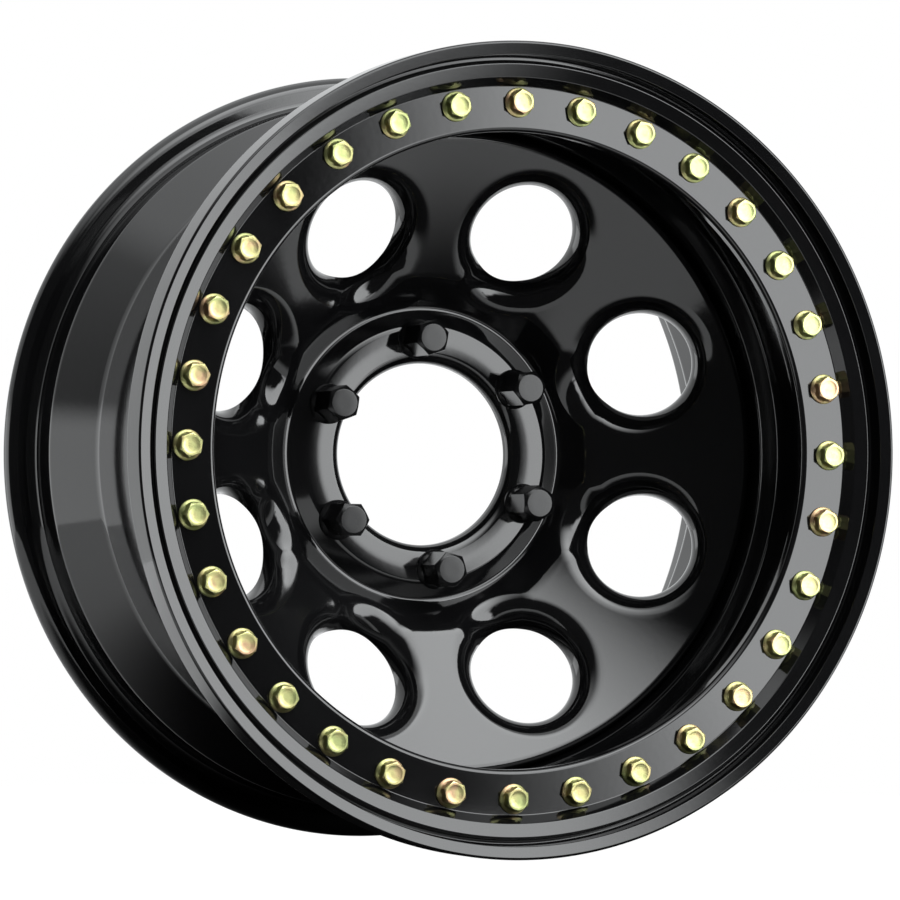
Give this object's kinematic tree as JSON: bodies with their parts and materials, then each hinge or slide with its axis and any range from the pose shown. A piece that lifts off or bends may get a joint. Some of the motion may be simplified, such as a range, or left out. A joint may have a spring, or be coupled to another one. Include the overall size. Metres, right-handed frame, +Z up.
{
  "type": "beadlock wheel",
  "caption": "Steel off-road wheel with a dished centre of round rolled windows, a hub bore with nut seats and an outer clamp ring bolted on to hold the tyre bead.",
  "frame": {"origin": "centre of the wheel: on its axis, midway between the front of the lip and the back of the rear flange", "axes": "+Y along the wheel axis to the inboard side, the clamp ring at -Y; +Z up and +X to the right as seen from outboard"},
  "size_m": [0.4736, 0.256, 0.4736],
  "materials": {
    "barrel_black": "gloss black coating",
    "ring_black": "gloss black coating on plate",
    "disc_black": "gloss black coating on stamped sheet",
    "yellow_zinc": "yellow passivated zinc",
    "nut_black": "black coated nut"
  },
  "bodies": {
    "root": {"rim_barrel": "barrel_black", "inner_ring": "barrel_black", "clamp_ring": "ring_black", "centre_disc": "disc_black", "clamp_bolts": "yellow_zinc", "lug_nuts": "nut_black", "ring_weld": "barrel_black", "disc_welds": "barrel_black"}
  },
  "joints": []
}
